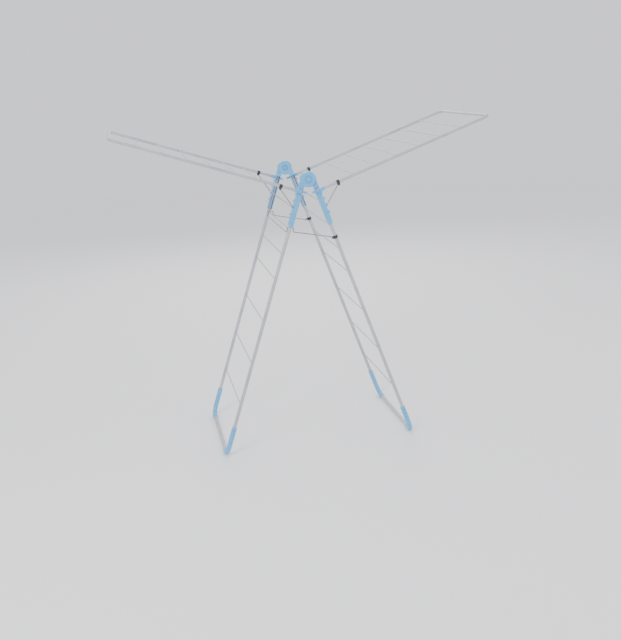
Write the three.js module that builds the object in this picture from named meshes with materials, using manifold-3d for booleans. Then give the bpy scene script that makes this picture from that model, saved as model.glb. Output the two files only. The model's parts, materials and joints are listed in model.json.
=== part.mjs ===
// A folding clothes drying rack: two hinged leg frames, two wings on wire props, and a wire spreader.
// Millimetres, +Z up. The origin is on the floor, midway between the legs; the wings lie along X.
// "Left" is -X, "right" is +X, "front" is -Y and "rear" is +Y.
//
// Each leg frame has its own axes: X runs down the leg from the main pivot, Y across the rack, and Z
// times the side's sign (left -1, right +1) points outwards. A wing's X runs out along the wing from
// its pivot, and Z times the side's sign points up.

import * as THREE from "three";
import { mergeVertices } from "three/addons/utils/BufferGeometryUtils.js";
import Module from "manifold-3d";

const wasm = await Module();
wasm.setup();

// Driving dimensions: the whole rack
const LEG_ANGLE = 19; // degrees each leg leans from the vertical
const WING_ANGLE = 19; // degrees each wing rises from the horizontal
const LEG_LENGTH = 1180; // main pivot to the middle of the foot bar, along the leg
const LEG_HALF_WIDTH = 252; // middle of the rack to a leg tube's centre line
const LEG_OFFSET = 18; // leg tube's centre line outside the line through the main pivot
const WING_LENGTH = 750; // wing pivot to the middle of the wing's end bar
const WING_HALF_WIDTH = 276;
const WING_PIVOT_DOWN = 52; // wing pivot below the main pivot, along the leg

// Tubes and wires
const LEG_TUBE_RADIUS = 7;
const WING_TUBE_RADIUS = 6;
const TUBE_WALL = 1;
const LEG_BEND_RADIUS = 42;
const WING_BEND_RADIUS = 30;
const RUNG_RADIUS = 2.25;
const WIRE_RADIUS = 2;
const LEG_TUBE_SIDES = 12;
const WING_TUBE_SIDES = 12;
const WIRE_SIDES = 8;
const CLIP_SEGMENTS = 16;
const DISC_SEGMENTS = 36;
const HUB_SEGMENTS = 24;
const TUBE_BEND_CHORDS = 5;
const WIRE_BEND_CHORDS = 3;
const GAP = 0.35; // between pieces that touch on the real rack
const LAP = 1; // how far a solid that cuts or joins another runs past the face it meets
const MERGE_DISTANCE = 1e-4;

// Rungs: distances from the main pivot down the leg, and from the wing pivot out along the wing
const LEG_RUNGS = [207, 312, 417, 597, 778, 959];
const FIRST_WING_RUNG = 160;
const WING_RUNG_PITCH = 95;
const WING_RUNG_COUNT = 6;

// Knuckles: each half is a disc with an arm, a channel open to the inside that holds the leg tube
const DISC_RADIUS = 31;
const KNUCKLE_OUTER = 262.4; // middle of the rack to the knuckle's outer face
const KNUCKLE_DEPTH = 24;
const KNUCKLE_INNER = KNUCKLE_OUTER - KNUCKLE_DEPTH;
const KNUCKLE_MIDDLE = (KNUCKLE_INNER + KNUCKLE_OUTER) / 2;
const DISC_CLEARANCE = 0.8;
const ARM_HALF_WIDTH = 10;
const ARM_LENGTH = 197;
const ARM_BACK_WALL = 3;
const ARM_END_RADIUS = 7;
const ARM_END_CHORDS = 4;
const CHANNEL_TOP = 44;
const GROOVE_INNER_RADIUS = 9.5;
const GROOVE_OUTER_RADIUS = 16;
const GROOVE_DEPTH = 2.5;
const HUB_RECESS_RADIUS = 13;
const HUB_RECESS_DEPTH = 4;

// Teeth on the arm's outer edge, which the prop's crossbar hooks into
const FIRST_TOOTH = 64;
const TOOTH_PITCH = 28;
const TOOTH_COUNT = 4;
const SEATED_TOOTH = 2; // counted from 0 at the top
const TOOTH_HEIGHT = 6.4;
const SEAT_WIDTH = 4.9;
const SEAT_LEDGE = 2.4; // below the crossbar's centre
const LIP_RISE = 1.5; // top of the lip above the crossbar's centre
const LIP_SHOULDER_RISE = 0.8;
const LIP_SHOULDER_IN = 0.9; // inside the tooth's tip
const RAMP_START = 1.4; // below the crossbar's centre
const RAMP_END = 10;

// Pins
const MAIN_PIN_RADIUS = 4;
const MAIN_HEAD_RADIUS = 7;
const MAIN_HEAD_THICKNESS = 3;
const MAIN_RIVET_RADIUS = 6;
const MAIN_RIVET_HEIGHT = 1.4;
const MAIN_RIVET_TAPER = 0.5;
const WING_PIN_RADIUS = 3;
const WING_HEAD_RADIUS = 5.5;
const WING_HEAD_THICKNESS = 2.4;
const WING_RIVET_EDGE = 1.6; // above the joint's face
const WING_RIVET_SHOULDER = 2.8;
const WING_RIVET_HEIGHT = 3;
const WING_RIVET_TAPER = 1.5;
const HEAD_CHAMFER = 1;
const CAP_CLEARANCE = 0.5; // inside the disc's groove, and round the pin's riveted end
const CAP_RECESS_DEPTH = 1.8;
const CAP_EDGE = 2; // above the disc's face
const CAP_SHOULDER = 3.2;
const CAP_HEIGHT = 3.6;
const CAP_TAPER = 1.5;
const RUNNING_CLEARANCE = 0.35;
const PIN_SEGMENTS = 12;

// Wing joints: the plastic end pieces that carry the wings
const JOINT_OUTER = 283;
const JOINT_BOSS_RADIUS = 7.5;
const JOINT_BLOCK_END = 14;
const JOINT_BLOCK_INSET = 0.5; // its faces, inside the boss's radius
const JOINT_PLUG_END = 44;
const TAIL_LENGTH = 26;
const TAIL_RADIUS = 4.5;
const TAIL_THICKNESS = 6;

// Props and the spreader
const PROP_CLIP_OUT = 84; // along the wing
const PROP_CLIP_DROP = 10; // wire's pivot below the wing tube's centre line
const CLIP_HALF_LENGTH = 6;
const PROP_CLIP_WALL = 2.2;
const SPREADER_CLIP_WALL = 2.4;
const EAR_INSET = 4.6; // the ear's inner face, from the ring's inner side
const EAR_OUTER_INSET = 2;
const EAR_SHORTER = 1; // than the ring, at each end
const EAR_WALL = 2.2;
const WIRE_TIP = 3; // a wire's end, beyond the tube's centre line
const PROP_ARM_Y = 266.4;
const PROP_BEND = 5;
const SPREADER_CLIP_DOWN = 255; // along the right leg
const SPREADER_CLIP_IN = 11; // wire's pivot inside the leg tube's centre line
const SPREADER_RISE = 12; // degrees the spreader rises towards the left
const SPREADER_ARM_Y = 233.5;
const HOOK_WIDTH = 24;
const HOOK_DEPTH = 22;
const HOOK_BEND = 3.5;
const HOOK_PLAY = 0.5; // between the hook and the left leg's top rung

// Foot sleeves: bent, over the corners of each leg tube; the rack stands on them
const SLEEVE_TOP = 1056;
const SLEEVE_ON_BAR = 20; // past the bend, along the foot bar
const SLEEVE_OUTER_RADIUS = 10.5;
const SLEEVE_SLOTS = 4;
const FIRST_SLOT = 13.5; // from the sleeve's top
const SLOT_PITCH = 18;
const SLOT_LENGTH = 16;
const SLOT_DEPTH = 20;
const SLOT_WIDTH = 7;
const SLOT_ANGLE = 35;

const LEFT = -1;
const RIGHT = 1;
const SIDES = { left: LEFT, right: RIGHT };
const ENDS = { front: -1, rear: 1 };

const rad = THREE.MathUtils.degToRad;
const FOOT_BAR_DROP = LEG_LENGTH * Math.cos(rad(LEG_ANGLE)) - LEG_OFFSET * Math.sin(rad(LEG_ANGLE));
const PIVOT_HEIGHT = FOOT_BAR_DROP + SLEEVE_OUTER_RADIUS;

// Finishes
function finish(color, roughness, metalness) {
  return new THREE.MeshStandardMaterial({ color, roughness, metalness });
}

const WHITE_POWDER_COAT = finish(0xeeeef2, 0.45, 0.1);
const WHITE_WIRE = finish(0xe6e6ea, 0.45, 0.1);
const BLUE_PLASTIC = finish(0x7db4de, 0.4, 0);
const BLACK_PLASTIC = finish(0x1f2124, 0.5, 0);
const GREY_WIRE = finish(0xb9bbbd, 0.35, 0.7);
const DARK_STEEL = finish(0x6a6a6c, 0.35, 0.9);

// Placing

// A point of a leg in the front view: down the leg from the main pivot, and out from it.
function legPoint(side, down, out) {
  const a = rad(LEG_ANGLE);
  return new THREE.Vector2(
    side * (down * Math.sin(a) + out * Math.cos(a)),
    PIVOT_HEIGHT - down * Math.cos(a) + out * Math.sin(a),
  );
}

// A point of a wing in the front view: along the wing from its pivot, and above its centre line.
function wingPoint(side, along, above) {
  const a = rad(WING_ANGLE);
  const pivot = legPoint(side, WING_PIVOT_DOWN, LEG_OFFSET);
  return new THREE.Vector2(
    pivot.x + side * (along * Math.cos(a) - above * Math.sin(a)),
    pivot.y + along * Math.sin(a) + above * Math.cos(a),
  );
}

// A group whose X axis points from one place in the front view towards a direction in degrees.
function frameAt(place, direction) {
  const group = new THREE.Group();
  group.position.set(place.x, 0, place.y);
  group.rotation.y = -rad(direction);
  return group;
}

// The stretch of Y between two distances from the middle of the rack, at its front or rear end.
function span(end, inner, outer) {
  return end > 0 ? [inner, outer] : [-outer, -inner];
}

// The vertex radius of a polygon whose flats lie at the given radius.
function circumscribed(radius, sides) {
  return radius / Math.cos(Math.PI / sides);
}

// Solids

function solidOf(geometry) {
  const bare = geometry.index ? geometry.toNonIndexed() : geometry.clone();
  bare.deleteAttribute("normal");
  bare.deleteAttribute("uv");
  const merged = mergeVertices(bare, MERGE_DISTANCE);
  return new wasm.Manifold(
    new wasm.Mesh({
      numProp: 3,
      vertProperties: merged.attributes.position.array,
      triVerts: new Uint32Array(merged.index.array),
    }),
  );
}

function geometryOf(solid) {
  const { numProp, vertProperties, triVerts } = solid.getMesh();
  const positions = new Float32Array((vertProperties.length / numProp) * 3);
  for (let i = 0; i < positions.length / 3; i++) {
    positions.set(vertProperties.subarray(i * numProp, i * numProp + 3), i * 3);
  }
  const geometry = new THREE.BufferGeometry();
  geometry.setAttribute("position", new THREE.BufferAttribute(positions, 3));
  geometry.setIndex(new THREE.BufferAttribute(new Uint32Array(triVerts), 1));
  geometry.computeVertexNormals();
  return geometry;
}

function joined(...geometries) {
  return geometryOf(geometries.map(solidOf).reduce((a, b) => a.add(b)));
}

function cut(geometry, ...tools) {
  return geometryOf(tools.map(solidOf).reduce((a, b) => a.subtract(b), solidOf(geometry)));
}

// An outline in the X-Z plane, made thick along Y from low to high.
function plate(shape, [low, high]) {
  const geometry = new THREE.ExtrudeGeometry(shape, { depth: high - low, bevelEnabled: false });
  return geometry.rotateX(Math.PI / 2).translate(0, high, 0);
}

function outline(points) {
  return new THREE.Shape(points.map(([x, z]) => new THREE.Vector2(x, z)));
}

function box([x0, x1], [y0, y1], [z0, z1]) {
  const geometry = new THREE.BoxGeometry(x1 - x0, y1 - y0, z1 - z0);
  return geometry.translate((x0 + x1) / 2, (y0 + y1) / 2, (z0 + z1) / 2);
}

// A round bar along Y, centred on (x, z).
function crossBar(radius, [low, high], sides, x = 0, z = 0) {
  const geometry = new THREE.CylinderGeometry(radius, radius, high - low, sides);
  return geometry.translate(x, (low + high) / 2, z);
}

// A round bar along X, centred on (y, z).
function lengthBar(radius, [low, high], sides, y = 0, z = 0) {
  const geometry = new THREE.CylinderGeometry(radius, radius, high - low, sides);
  return geometry.rotateZ(Math.PI / 2).translate((low + high) / 2, y, z);
}

// A turned piece about Y: its profile is a list of [radius, distance from the middle of the rack].
function turned(profile, end) {
  const points = profile.map(([radius, y]) => new THREE.Vector2(radius, end * y));
  if (end > 0) points.reverse();
  return new THREE.LatheGeometry(points.reverse(), PIN_SEGMENTS);
}

// Bent tubes and wires

// A run of straight stretches with a round bend at each corner. One step of a sweep along it is
// one straight stretch or one short chord of a bend.
class BentRun extends THREE.Curve {
  constructor(corners, bendRadius, chords) {
    super();
    this.stations = [corners[0]];
    for (let i = 1; i < corners.length - 1; i++) {
      this.addBend(corners[i - 1], corners[i], corners[i + 1], bendRadius, chords);
    }
    this.stations.push(corners[corners.length - 1]);
  }

  addBend(before, corner, after, radius, chords) {
    const incoming = corner.clone().sub(before).normalize();
    const outgoing = after.clone().sub(corner).normalize();
    const turn = incoming.angleTo(outgoing);
    const setback = radius * Math.tan(turn / 2);
    const start = corner.clone().addScaledVector(incoming, -setback);
    const inward = outgoing.clone().addScaledVector(incoming, -Math.cos(turn)).normalize();
    const centre = start.clone().addScaledVector(inward, radius);
    for (let k = 0; k <= chords; k++) {
      const angle = (turn * k) / chords;
      this.stations.push(
        centre
          .clone()
          .addScaledVector(inward, -radius * Math.cos(angle))
          .addScaledVector(incoming, radius * Math.sin(angle)),
      );
    }
  }

  get steps() {
    return this.stations.length - 1;
  }

  getPoint(t, target = new THREE.Vector3()) {
    const place = Math.min(Math.max(t, 0), 1) * this.steps;
    const index = Math.min(Math.floor(place), this.steps - 1);
    return target.lerpVectors(this.stations[index], this.stations[index + 1], place - index);
  }

  getUtoTmapping(u) {
    return u;
  }
}

function ring(radius, sides, turn) {
  const points = [];
  for (let i = 0; i < sides; i++) {
    const angle = turn + ((i + 0.5) * 2 * Math.PI) / sides;
    points.push(new THREE.Vector2(radius * Math.cos(angle), radius * Math.sin(angle)));
  }
  return points;
}

function swept(run, shape) {
  return new THREE.ExtrudeGeometry(shape, { steps: run.steps, extrudePath: run, bevelEnabled: false });
}

// A hollow tube: turn sets the direction, in the tube's section, that one flat of it faces.
function bentTube(run, outer, inner, sides, turn = 0) {
  const shape = new THREE.Shape(ring(circumscribed(outer, sides), sides, turn));
  shape.holes.push(new THREE.Path(ring(circumscribed(inner, sides), sides, turn)));
  return swept(run, shape);
}

function bentWire(run) {
  return swept(run, new THREE.Shape(ring(WIRE_RADIUS, WIRE_SIDES, 0)));
}

// A U: down one side at -halfWidth, across, and back up the other side.
function uRun(start, length, halfWidth, z, bendRadius, chords) {
  const corners = [
    [start, -halfWidth],
    [length, -halfWidth],
    [length, halfWidth],
    [start, halfWidth],
  ];
  return new BentRun(
    corners.map(([x, y]) => new THREE.Vector3(x, y, z)),
    bendRadius,
    chords,
  );
}

// Leg frames

// The turn of a leg tube's section that makes one flat of the foot bar face straight down.
const floorFlat = (side) => -rad(90 - side * LEG_ANGLE);

function legTube(side) {
  const out = side * LEG_OFFSET;
  const run = uRun(CHANNEL_TOP + GAP, LEG_LENGTH, LEG_HALF_WIDTH, out, LEG_BEND_RADIUS, TUBE_BEND_CHORDS);
  const bore = LEG_TUBE_RADIUS - TUBE_WALL;
  const tube = bentTube(run, LEG_TUBE_RADIUS, bore, LEG_TUBE_SIDES, floorFlat(side));
  const pinHole = crossBar(
    WING_PIN_RADIUS + RUNNING_CLEARANCE,
    [-KNUCKLE_OUTER, KNUCKLE_OUTER],
    PIN_SEGMENTS,
    WING_PIVOT_DOWN,
    side * LEG_OFFSET,
  );
  return cut(tube, pinHole);
}

// A straight rung between two side tubes, whose ends stop just short of them.
function rung(halfWidth, tubeRadius, tubeSides) {
  const reach = halfWidth - circumscribed(tubeRadius, tubeSides) - GAP;
  return crossBar(RUNG_RADIUS, [-reach, reach], WIRE_SIDES);
}

// Knuckles

const ARM_OUT = LEG_OFFSET + ARM_HALF_WIDTH;
const ARM_IN = LEG_OFFSET - ARM_HALF_WIDTH;

function toothPoints(seat) {
  return [
    [seat + SEAT_LEDGE, ARM_OUT],
    [seat + SEAT_LEDGE, ARM_OUT + SEAT_WIDTH],
    [seat - LIP_RISE, ARM_OUT + SEAT_WIDTH],
    [seat - LIP_SHOULDER_RISE, ARM_OUT + TOOTH_HEIGHT - LIP_SHOULDER_IN],
    [seat + RAMP_START, ARM_OUT + TOOTH_HEIGHT],
    [seat + RAMP_END, ARM_OUT],
  ];
}

// A round corner at the arm's end: a quarter turn back from the start angle, about a centre so far out.
function armCorner(centreOut, startAngle) {
  const points = [];
  for (let k = 0; k <= ARM_END_CHORDS; k++) {
    const angle = rad(startAngle - (90 * k) / ARM_END_CHORDS);
    points.push([
      ARM_LENGTH - ARM_END_RADIUS + ARM_END_RADIUS * Math.cos(angle),
      centreOut + ARM_END_RADIUS * Math.sin(angle),
    ]);
  }
  return points;
}

function armOutline(side) {
  const points = [[0, ARM_IN], [0, ARM_OUT]];
  for (let i = 0; i < TOOTH_COUNT; i++) {
    points.push(...toothPoints(FIRST_TOOTH + i * TOOTH_PITCH));
  }
  points.push(...armCorner(ARM_OUT - ARM_END_RADIUS, 90));
  points.push(...armCorner(ARM_IN + ARM_END_RADIUS, 0));
  return outline(points.map(([down, out]) => [down, side * out]));
}

// The left halves' discs lie outside and the right halves' inside, so that they lap each other.
function knuckle(side, end) {
  const outerLap = side === LEFT;
  const lap = outerLap
    ? span(end, KNUCKLE_MIDDLE + GAP / 2, KNUCKLE_OUTER)
    : span(end, KNUCKLE_INNER, KNUCKLE_MIDDLE - GAP / 2);
  const otherLap = outerLap
    ? span(end, KNUCKLE_INNER - LAP, KNUCKLE_MIDDLE + GAP / 2)
    : span(end, KNUCKLE_MIDDLE - GAP / 2, KNUCKLE_OUTER + LAP);
  const disc = crossBar(DISC_RADIUS, lap, DISC_SEGMENTS);
  const sweptRoom = crossBar(DISC_RADIUS + DISC_CLEARANCE, otherLap, DISC_SEGMENTS);
  const arm = cut(plate(armOutline(side), span(end, KNUCKLE_INNER, KNUCKLE_OUTER)), sweptRoom);
  const bore = LEG_TUBE_RADIUS + GAP;
  const channel = box(
    [CHANNEL_TOP, ARM_LENGTH + LAP],
    span(end, KNUCKLE_INNER - LAP, KNUCKLE_OUTER - ARM_BACK_WALL),
    [side * LEG_OFFSET - bore, side * LEG_OFFSET + bore],
  );
  const mainHole = crossBar(
    MAIN_PIN_RADIUS + RUNNING_CLEARANCE,
    span(end, KNUCKLE_INNER - LAP, KNUCKLE_OUTER + LAP),
    PIN_SEGMENTS,
  );
  const wingHole = crossBar(
    WING_PIN_RADIUS + RUNNING_CLEARANCE,
    span(end, KNUCKLE_INNER - LAP, KNUCKLE_OUTER + LAP),
    PIN_SEGMENTS,
    WING_PIVOT_DOWN,
    side * LEG_OFFSET,
  );
  const hub = outerLap ? discGroove(end) : hubRecess(end);
  return cut(joined(disc, arm), channel, mainHole, wingHole, hub);
}

// The ring-shaped groove in the outer disc's face, round the pin's boss.
function discGroove(end) {
  const depth = span(end, KNUCKLE_OUTER - GROOVE_DEPTH, KNUCKLE_OUTER + LAP);
  const outer = crossBar(GROOVE_OUTER_RADIUS, depth, HUB_SEGMENTS);
  const inner = crossBar(GROOVE_INNER_RADIUS, depth, HUB_SEGMENTS);
  return cut(outer, inner);
}

// The round recess in the inner disc's face that holds the pin's head.
function hubRecess(end) {
  const depth = span(end, KNUCKLE_INNER - LAP, KNUCKLE_INNER + HUB_RECESS_DEPTH);
  return crossBar(HUB_RECESS_RADIUS, depth, HUB_SEGMENTS);
}

// Pins

const CAP_SEAT = KNUCKLE_OUTER + GAP;

function mainPin(end) {
  const headFace = KNUCKLE_INNER + HUB_RECESS_DEPTH - GAP;
  return turned(
    [
      [0, headFace - MAIN_HEAD_THICKNESS],
      [MAIN_HEAD_RADIUS - HEAD_CHAMFER, headFace - MAIN_HEAD_THICKNESS],
      [MAIN_HEAD_RADIUS, headFace - MAIN_HEAD_THICKNESS + HEAD_CHAMFER],
      [MAIN_HEAD_RADIUS, headFace],
      [MAIN_PIN_RADIUS, headFace],
      [MAIN_PIN_RADIUS, CAP_SEAT],
      [MAIN_RIVET_RADIUS, CAP_SEAT],
      [MAIN_RIVET_RADIUS - MAIN_RIVET_TAPER, CAP_SEAT + MAIN_RIVET_HEIGHT],
      [0, CAP_SEAT + MAIN_RIVET_HEIGHT],
    ],
    end,
  );
}

function pinCap(end) {
  const rim = GROOVE_INNER_RADIUS - CAP_CLEARANCE;
  return turned(
    [
      [0, CAP_SEAT + CAP_RECESS_DEPTH],
      [MAIN_RIVET_RADIUS + CAP_CLEARANCE, CAP_SEAT + CAP_RECESS_DEPTH],
      [MAIN_RIVET_RADIUS + CAP_CLEARANCE, CAP_SEAT],
      [rim, CAP_SEAT],
      [rim, CAP_SEAT + CAP_EDGE],
      [rim - CAP_TAPER, CAP_SEAT + CAP_SHOULDER],
      [0, CAP_SEAT + CAP_HEIGHT],
    ],
    end,
  );
}

function wingPin(end) {
  const tubeFace = LEG_HALF_WIDTH - circumscribed(LEG_TUBE_RADIUS, LEG_TUBE_SIDES) - GAP;
  return turned(
    [
      [0, tubeFace - WING_HEAD_THICKNESS],
      [WING_HEAD_RADIUS - HEAD_CHAMFER, tubeFace - WING_HEAD_THICKNESS],
      [WING_HEAD_RADIUS, tubeFace - WING_HEAD_THICKNESS + HEAD_CHAMFER],
      [WING_HEAD_RADIUS, tubeFace],
      [WING_PIN_RADIUS, tubeFace],
      [WING_PIN_RADIUS, JOINT_OUTER + GAP],
      [WING_HEAD_RADIUS, JOINT_OUTER + GAP],
      [WING_HEAD_RADIUS, JOINT_OUTER + WING_RIVET_EDGE],
      [WING_HEAD_RADIUS - WING_RIVET_TAPER, JOINT_OUTER + WING_RIVET_SHOULDER],
      [0, JOINT_OUTER + WING_RIVET_HEIGHT],
    ],
    end,
  );
}

// Wings

function wingTube() {
  const start = JOINT_BLOCK_END + GAP;
  const run = uRun(start, WING_LENGTH, WING_HALF_WIDTH, 0, WING_BEND_RADIUS, TUBE_BEND_CHORDS);
  return bentTube(run, WING_TUBE_RADIUS, WING_TUBE_RADIUS - TUBE_WALL, WING_TUBE_SIDES);
}

// The end piece plugs into the wing tube and turns on the wing pin. Its tail points inwards; left
// and right tails lie in different layers, so that they pass each other when the legs close.
function wingJoint(side, end) {
  const inner = KNUCKLE_OUTER + 2 * GAP;
  const tailLayer = side === LEFT ? inner : inner + TAIL_THICKNESS + 2 * GAP;
  const boss = crossBar(JOINT_BOSS_RADIUS, span(end, inner, JOINT_OUTER), CLIP_SEGMENTS);
  const block = box(
    [0, JOINT_BLOCK_END],
    span(end, inner, JOINT_OUTER),
    [JOINT_BLOCK_INSET - JOINT_BOSS_RADIUS, JOINT_BOSS_RADIUS - JOINT_BLOCK_INSET],
  );
  const tailSpan = span(end, tailLayer, tailLayer + TAIL_THICKNESS);
  const tail = box([TAIL_RADIUS - TAIL_LENGTH, 0], tailSpan, [-TAIL_RADIUS, TAIL_RADIUS]);
  const tailEnd = crossBar(TAIL_RADIUS, tailSpan, CLIP_SEGMENTS, TAIL_RADIUS - TAIL_LENGTH, 0);
  const plug = lengthBar(
    WING_TUBE_RADIUS - TUBE_WALL - GAP,
    [JOINT_BLOCK_END - LAP, JOINT_PLUG_END],
    PIN_SEGMENTS,
    end * WING_HALF_WIDTH,
  );
  const pinHole = crossBar(
    WING_PIN_RADIUS + RUNNING_CLEARANCE,
    span(end, inner - LAP, JOINT_OUTER + LAP),
    PIN_SEGMENTS,
  );
  return cut(joined(boss, block, tail, tailEnd, plug), pinHole);
}

// Clips: a ring round the tube with an ear that the wire's end turns in

function clip(wall, tubeRadius, tubeSides, tubeY, earZ, end) {
  const bore = circumscribed(tubeRadius, tubeSides) + GAP;
  const outer = bore + wall;
  const length = [-CLIP_HALF_LENGTH, CLIP_HALF_LENGTH];
  const ring = lengthBar(outer, length, CLIP_SEGMENTS, end * tubeY);
  const earTip = earZ + Math.sign(earZ) * (WIRE_RADIUS + EAR_WALL);
  const ear = box(
    [EAR_SHORTER - CLIP_HALF_LENGTH, CLIP_HALF_LENGTH - EAR_SHORTER],
    span(end, tubeY - outer + EAR_INSET, tubeY + outer - EAR_OUTER_INSET),
    [Math.min(0, earTip), Math.max(0, earTip)],
  );
  const through = [-CLIP_HALF_LENGTH - LAP, CLIP_HALF_LENGTH + LAP];
  const tubeBore = lengthBar(bore, through, CLIP_SEGMENTS, end * tubeY);
  const wireBore = crossBar(
    WIRE_RADIUS + RUNNING_CLEARANCE,
    span(end, tubeY - outer - LAP, tubeY + outer + LAP),
    PIN_SEGMENTS,
    0,
    earZ,
  );
  return cut(joined(ring, ear), tubeBore, wireBore);
}

// Wires

// A prop: its ends turn in the clips, its arms run straight, and its crossbar sits in the teeth.
function propWire(length) {
  const tip = WING_HALF_WIDTH + WIRE_TIP;
  const corners = [
    [0, -tip],
    [0, -PROP_ARM_Y],
    [length, -PROP_ARM_Y],
    [length, PROP_ARM_Y],
    [0, PROP_ARM_Y],
    [0, tip],
  ];
  const path = corners.map(([x, y]) => new THREE.Vector3(x, y, 0));
  return bentWire(new BentRun(path, PROP_BEND, WIRE_BEND_CHORDS));
}

// The spreader: each arm runs straight, then up, over the left leg's top rung and down again, and
// the crossbar joins the two arms. Its Z axis points down, so that "up" is negative.
function spreaderWire(rungAlong, rungUp) {
  const reach = RUNG_RADIUS + WIRE_RADIUS;
  const crest = -(rungUp + reach + HOOK_PLAY);
  const outerWall = rungAlong + reach + HOOK_PLAY;
  const innerWall = outerWall - HOOK_WIDTH;
  const tip = LEG_HALF_WIDTH + WIRE_TIP;
  const arm = [
    [0, tip, 0],
    [0, SPREADER_ARM_Y, 0],
    [innerWall, SPREADER_ARM_Y, 0],
    [innerWall, SPREADER_ARM_Y, crest],
    [outerWall, SPREADER_ARM_Y, crest],
    [outerWall, SPREADER_ARM_Y, crest + HOOK_DEPTH],
  ];
  const frontArm = arm.map(([x, y, z]) => new THREE.Vector3(x, -y, z));
  const rearArm = arm.map(([x, y, z]) => new THREE.Vector3(x, y, z)).reverse();
  return bentWire(new BentRun([...frontArm, ...rearArm], HOOK_BEND, WIRE_BEND_CHORDS));
}

// Foot sleeves: a bent grip over a front corner of the leg tube, slotted on its outer side. A rear one
// is its mirror image.
function footSleeve(side) {
  const z = side * LEG_OFFSET;
  const barEnd = LEG_HALF_WIDTH - LEG_BEND_RADIUS - SLEEVE_ON_BAR;
  const corners = [
    [SLEEVE_TOP, -LEG_HALF_WIDTH],
    [LEG_LENGTH, -LEG_HALF_WIDTH],
    [LEG_LENGTH, -barEnd],
  ];
  const path = corners.map(([x, y]) => new THREE.Vector3(x, y, z));
  const run = new BentRun(path, LEG_BEND_RADIUS, TUBE_BEND_CHORDS);
  const bore = LEG_TUBE_RADIUS + GAP;
  const body = bentTube(run, SLEEVE_OUTER_RADIUS, bore, LEG_TUBE_SIDES, floorFlat(side));
  const slots = [];
  for (let i = 0; i < SLEEVE_SLOTS; i++) {
    const slot = new THREE.BoxGeometry(SLOT_WIDTH, SLOT_DEPTH, SLOT_LENGTH);
    slot.rotateY(rad(SLOT_ANGLE));
    const down = SLEEVE_TOP + FIRST_SLOT + SLOT_PITCH * i;
    slot.translate(down, -LEG_HALF_WIDTH - SLOT_DEPTH / 2, z);
    slots.push(slot);
  }
  return cut(body, ...slots);
}

// Assembly

const rack = new THREE.Group();
rack.name = "clothes_drying_rack";

function add(group, name, geometry, material) {
  const mesh = new THREE.Mesh(geometry, material);
  mesh.name = name;
  group.add(mesh);
  return mesh;
}

const mainPivot = new THREE.Vector2(0, PIVOT_HEIGHT);
const legDirection = (side) => -90 + side * LEG_ANGLE;
const wingDirection = (side) => (side === RIGHT ? WING_ANGLE : 180 - WING_ANGLE);

for (const [sideName, side] of Object.entries(SIDES)) {
  const leg = frameAt(mainPivot, legDirection(side));
  rack.add(leg);
  add(leg, `${sideName}_leg_tube`, legTube(side), WHITE_POWDER_COAT);
  LEG_RUNGS.forEach((down, i) => {
    const shape = rung(LEG_HALF_WIDTH, LEG_TUBE_RADIUS, LEG_TUBE_SIDES);
    add(leg, `${sideName}_leg_rung_${i + 1}`, shape, WHITE_WIRE).position.set(down, 0, side * LEG_OFFSET);
  });

  const wing = frameAt(wingPoint(side, 0, 0), wingDirection(side));
  rack.add(wing);
  add(wing, `${sideName}_wing_tube`, wingTube(), WHITE_POWDER_COAT);
  for (let i = 0; i < WING_RUNG_COUNT; i++) {
    const shape = rung(WING_HALF_WIDTH, WING_TUBE_RADIUS, WING_TUBE_SIDES);
    const along = FIRST_WING_RUNG + i * WING_RUNG_PITCH;
    add(wing, `${sideName}_wing_rung_${i + 1}`, shape, WHITE_WIRE).position.set(along, 0, 0);
  }

  const clipPlace = wingPoint(side, PROP_CLIP_OUT, -PROP_CLIP_DROP);
  const seatOut = ARM_OUT + SEAT_WIDTH / 2;
  const seat = legPoint(side, FIRST_TOOTH + SEATED_TOOTH * TOOTH_PITCH, seatOut);
  const propVector = seat.clone().sub(clipPlace);
  const prop = frameAt(clipPlace, THREE.MathUtils.radToDeg(Math.atan2(propVector.y, propVector.x)));
  rack.add(prop);
  add(prop, `${sideName}_prop`, propWire(propVector.length()), GREY_WIRE);

  for (const [endName, end] of Object.entries(ENDS)) {
    const name = `${sideName}_${endName}`;
    add(leg, `${name}_knuckle`, knuckle(side, end), BLUE_PLASTIC);
    const sleeve = add(leg, `${name}_foot_sleeve`, footSleeve(side), BLUE_PLASTIC);
    sleeve.scale.y = -end;
    const pin = add(leg, `${name}_wing_pin`, wingPin(end), DARK_STEEL);
    pin.position.set(WING_PIVOT_DOWN, 0, side * LEG_OFFSET);
    add(wing, `${name}_wing_joint`, wingJoint(side, end), BLUE_PLASTIC);
    const shape = clip(
      PROP_CLIP_WALL,
      WING_TUBE_RADIUS,
      WING_TUBE_SIDES,
      WING_HALF_WIDTH,
      -side * PROP_CLIP_DROP,
      end,
    );
    add(wing, `${name}_prop_clip`, shape, BLACK_PLASTIC).position.x = PROP_CLIP_OUT;
  }
}

const spreaderPivot = legPoint(RIGHT, SPREADER_CLIP_DOWN, LEG_OFFSET - SPREADER_CLIP_IN);
const spreader = frameAt(spreaderPivot, 180 - SPREADER_RISE);
rack.add(spreader);
const topRung = legPoint(LEFT, LEG_RUNGS[0], LEG_OFFSET).sub(spreaderPivot);
const rise = rad(SPREADER_RISE);
const rungAlong = -topRung.x * Math.cos(rise) + topRung.y * Math.sin(rise);
const rungUp = topRung.x * Math.sin(rise) + topRung.y * Math.cos(rise);
add(spreader, "spreader", spreaderWire(rungAlong, rungUp), GREY_WIRE);

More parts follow.
